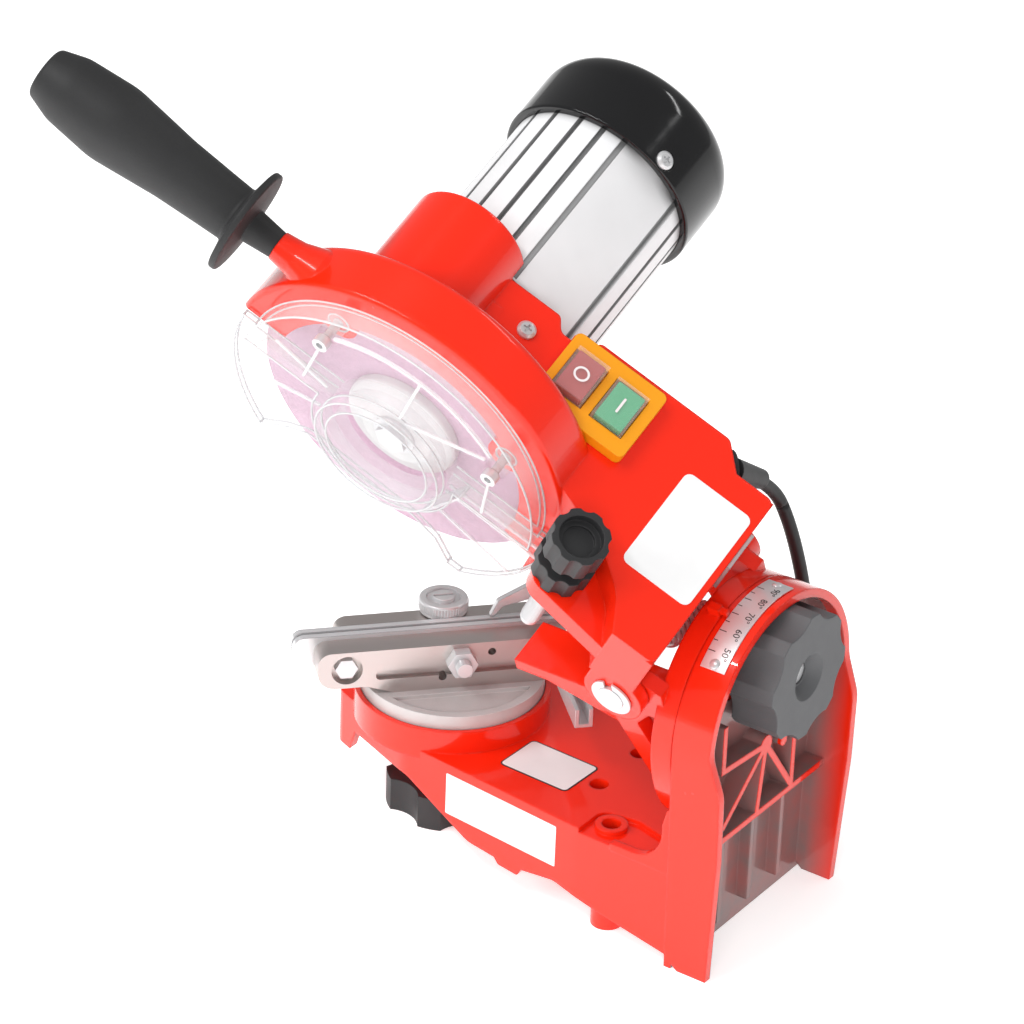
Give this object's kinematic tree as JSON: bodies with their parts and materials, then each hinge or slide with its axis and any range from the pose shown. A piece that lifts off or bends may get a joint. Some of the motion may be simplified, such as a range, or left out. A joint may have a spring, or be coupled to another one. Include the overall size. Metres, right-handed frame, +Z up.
{
  "type": "bench chain grinder",
  "caption": "Bench grinder for sharpening saw chains: a thin wheel on a pull-down motor arm over a turning chain vise, on a cast base with a tilting column.",
  "frame": {"origin": "on the bench plane, midway between the rear pair of bench bolt holes", "axes": "+X along the tilt axis towards the tilt knob, +Y towards the motor end, +Z up"},
  "size_m": [0.3377, 0.2989, 0.3587],
  "materials": {
    "red_paint": "glossy red enamel on cast aluminium",
    "cast_aluminium": "bare casting",
    "bright_aluminium": "extruded, bright",
    "steel": "zinc plated",
    "polished_steel": "polished",
    "black_matte": "matt black",
    "black_gloss": "glossy black",
    "grey_plastic": "dark grey",
    "yellow_plastic": "yellow",
    "red_button": "muted red",
    "green_button": "green",
    "white_metal": "white",
    "abrasive": "lilac grit",
    "clear_plastic": "clear polycarbonate",
    "iron_core": "laminated",
    "plate": "bare plate",
    "cord_rubber": "black cable"
  },
  "bodies": {
    "base": {"base_casting": "red_paint", "tilt_scale_strip": "plate", "power_cord": "cord_rubber", "cord_coil": "cord_rubber", "plug": "black_matte"},
    "turntable": {"turntable_disc": "cast_aluminium", "turntable_spindle": "steel", "fixed_jaw": "cast_aluminium", "fixed_rail": "polished_steel", "jaw_nut": "steel", "clamp_stud": "steel", "stud_nut": "steel"},
    "vise_lock": {"vise_lock_knob": "black_matte"},
    "moving_jaw": {"moving_jaw": "cast_aluminium", "moving_rail": "polished_steel"},
    "clamp_lever": {"clamp_lever": "steel", "clamp_pin": "steel"},
    "chain_stop": {"chain_stop_pawl": "polished_steel"},
    "adjuster": {"stop_adjuster": "steel"},
    "yoke": {"yoke_casting": "red_paint", "hinge_pin": "steel", "pin_clip_near": "steel", "pin_clip_far": "steel", "tilt_pivot_bolt": "steel", "tilt_lock_bolt": "steel", "tilt_washer": "steel", "return_spring": "steel"},
    "tilt_knob": {"tilt_lock_knob": "grey_plastic"},
    "arm": {"arm_casting": "red_paint", "motor_housing": "bright_aluminium", "motor_end_cap": "black_gloss", "stator": "iron_core", "front_bearing": "steel", "rear_bearing": "steel", "cap_screw": "steel", "collar_screw": "steel", "wheel_guard": "clear_plastic", "guard_screw_left": "steel", "guard_screw_right": "steel", "handle_grip": "black_matte", "handle_stud": "steel", "switch_housing": "yellow_plastic", "nameplate": "plate", "hinge_plate": "polished_steel", "cord_gland": "black_matte"},
    "rotor": {"motor_shaft": "steel", "rotor_core": "iron_core", "cooling_fan": "black_matte", "grinding_wheel": "abrasive", "inner_flange": "white_metal", "outer_flange": "white_metal", "wheel_bolt": "steel"},
    "depth_screw": {"depth_rod": "steel", "depth_knob": "black_matte"},
    "depth_lock": {"depth_lock_nut": "black_matte"},
    "stop_button": {"stop_button": "red_button"},
    "start_button": {"start_button": "green_button"}
  },
  "joints": [
    {"name": "vise_turn", "type": "hinge", "parent": "base", "child": "turntable", "pos_m": [-0.1125, 0, 0.0615], "axis": [0, 0, 1], "range_deg": [-2, 88]},
    {"name": "vise_lock_turn", "type": "hinge", "parent": "turntable", "child": "vise_lock", "pos_m": [-0.1125, 0, 0.008], "axis": [0, 0, 1], "range_deg": [0, 180]},
    {"name": "jaw_slide", "type": "slide", "parent": "turntable", "child": "moving_jaw", "axis": [-0.7314, 0.682, 0], "range_m": [-0.0012, 0.0016]},
    {"name": "clamp_lever_swing", "type": "hinge", "parent": "turntable", "child": "clamp_lever", "pos_m": [-0.06538, 0.01827, 0.0755], "axis": [0.682, 0.7314, 0], "range_deg": [-40, 4]},
    {"name": "chain_stop_flip", "type": "hinge", "parent": "moving_jaw", "child": "chain_stop", "pos_m": [-0.08741, 0.0313, 0.106], "axis": [-0.7314, 0.682, 0], "range_deg": [0, 70]},
    {"name": "stop_adjuster_turn", "type": "hinge", "parent": "moving_jaw", "child": "adjuster", "pos_m": [-0.12483, 0.00877, 0.092], "axis": [0, 0, 1], "range_deg": [-180, 180]},
    {"name": "head_tilt", "type": "hinge", "parent": "base", "child": "yoke", "pos_m": [0.033, 0, 0.1087], "axis": [1, 0, 0], "range_deg": [-22.45, 17.5], "deforming": ["power_cord"]},
    {"name": "tilt_knob_turn", "type": "hinge", "parent": "yoke", "child": "tilt_knob", "pos_m": [0.057, 0.00153, 0.13065], "axis": [1, 0, 0], "range_deg": [-90, 90]},
    {"name": "arm_swing", "type": "hinge", "parent": "yoke", "child": "arm", "pos_m": [0.0109, -0.01612, 0.1477], "axis": [0, 0.9242, 0.3819], "range_deg": [-20, 0], "stiffness_Nm_per_rad": 8, "springref_deg": 51.57, "deforming": ["power_cord"]},
    {"name": "wheel_spin", "type": "hinge", "parent": "arm", "child": "rotor", "pos_m": [-0.10965, -0.04345, 0.21385], "axis": [0, 0.9242, 0.3819], "continuous": true},
    {"name": "depth_screw_travel", "type": "slide", "parent": "arm", "child": "depth_screw", "axis": [0.5105, -0.3284, 0.7947], "range_m": [-0.0035, 0.012]},
    {"name": "depth_lock_turn", "type": "hinge", "parent": "arm", "child": "depth_lock", "pos_m": [-0.01974, -0.06056, 0.17671], "axis": [0.5105, -0.3284, 0.7947], "range_deg": [0, 180]},
    {"name": "stop_press", "type": "slide", "parent": "arm", "child": "stop_button", "axis": [-0.5105, 0.3284, -0.7947], "range_m": [0, 0.0016], "stiffness_N_per_m": 500, "springref_m": -0.002},
    {"name": "start_press", "type": "slide", "parent": "arm", "child": "start_button", "axis": [-0.5105, 0.3284, -0.7947], "range_m": [0, 0.0016], "stiffness_N_per_m": 500, "springref_m": -0.002}
  ]
}
